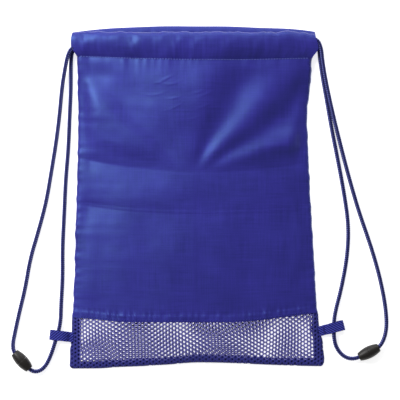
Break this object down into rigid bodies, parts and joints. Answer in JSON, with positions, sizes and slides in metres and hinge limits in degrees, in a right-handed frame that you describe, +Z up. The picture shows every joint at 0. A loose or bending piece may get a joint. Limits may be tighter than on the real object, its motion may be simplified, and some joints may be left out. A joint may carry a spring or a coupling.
{
  "type": "drawstring backpack",
  "caption": "Flat cloth drawstring backpack with a mesh band along its foot, cord straps that run through its hem and side loops, and breakaway cord connectors.",
  "frame": {"origin": "on the floor under the middle of the bag, which lies on its back", "axes": "+X to the right seen from the front, +Y from the bottom seam to the mouth, +Z up, out of the front panel"},
  "size_m": [0.3834, 0.3512, 0.0237],
  "materials": {
    "taffeta": "satin",
    "mesh": "matte",
    "binding": "matte",
    "tape": "satin",
    "cord": "matte",
    "thread": "satin",
    "connector": "satin"
  },
  "bodies": {
    "back": {"back_panel": "taffeta", "back_mesh_band": "mesh", "back_hem_casing": "taffeta", "bottom_binding": "binding", "bottom_thread": "thread", "back_hem_thread": "thread", "back_band_thread": "thread", "left_side_binding": "binding", "left_side_thread": "thread", "left_cord_outer": "cord", "left_cord_inner_upper": "cord", "left_cord_inner_lower": "cord", "left_cord_back_run": "cord", "left_cord_turn": "cord", "left_connector_plug": "connector", "left_plug_knot": "cord", "right_side_binding": "binding", "right_side_thread": "thread", "right_cord_outer": "cord", "right_cord_inner_upper": "cord", "right_cord_inner_lower": "cord", "right_cord_back_run": "cord", "right_cord_turn": "cord", "right_connector_plug": "connector", "right_plug_knot": "cord"},
    "front": {"front_panel": "taffeta", "front_mesh_band": "mesh", "front_hem_casing": "taffeta", "front_hem_thread": "thread", "front_band_thread": "thread", "left_cord_front_run": "cord", "right_cord_front_run": "cord"},
    "left_loop": {"left_side_loop": "tape", "left_loop_bar_tack": "thread"},
    "left_release": {"left_connector_socket": "connector", "left_socket_knot": "cord"},
    "right_loop": {"right_side_loop": "tape", "right_loop_bar_tack": "thread"},
    "right_release": {"right_connector_socket": "connector", "right_socket_knot": "cord"}
  },
  "joints": [
    {"name": "mouth_open", "type": "hinge", "parent": "back", "child": "front", "pos_m": [0, -0.1723, 0.0025], "axis": [1, 0, 0], "range_deg": [0, 6]},
    {"name": "left_loop_lift", "type": "hinge", "parent": "back", "child": "left_loop", "pos_m": [-0.1291, -0.1416, 0.0032], "axis": [0.1132, 0.9936, 0], "range_deg": [0, 35], "deforming": ["left_cord_inner_upper", "left_cord_inner_lower"]},
    {"name": "left_connector_release", "type": "slide", "parent": "back", "child": "left_release", "axis": [-0.6756, 0.7373, 0], "range_m": [0, 0.005], "deforming": ["left_cord_outer"]},
    {"name": "right_loop_lift", "type": "hinge", "parent": "back", "child": "right_loop", "pos_m": [0.127, -0.1352, 0.0032], "axis": [0.2554, -0.9668, 0], "range_deg": [0, 35], "deforming": ["right_cord_inner_upper", "right_cord_inner_lower"]},
    {"name": "right_connector_release", "type": "slide", "parent": "back", "child": "right_release", "axis": [0.8949, 0.4462, 0], "range_m": [0, 0.005], "deforming": ["right_cord_outer"]}
  ]
}
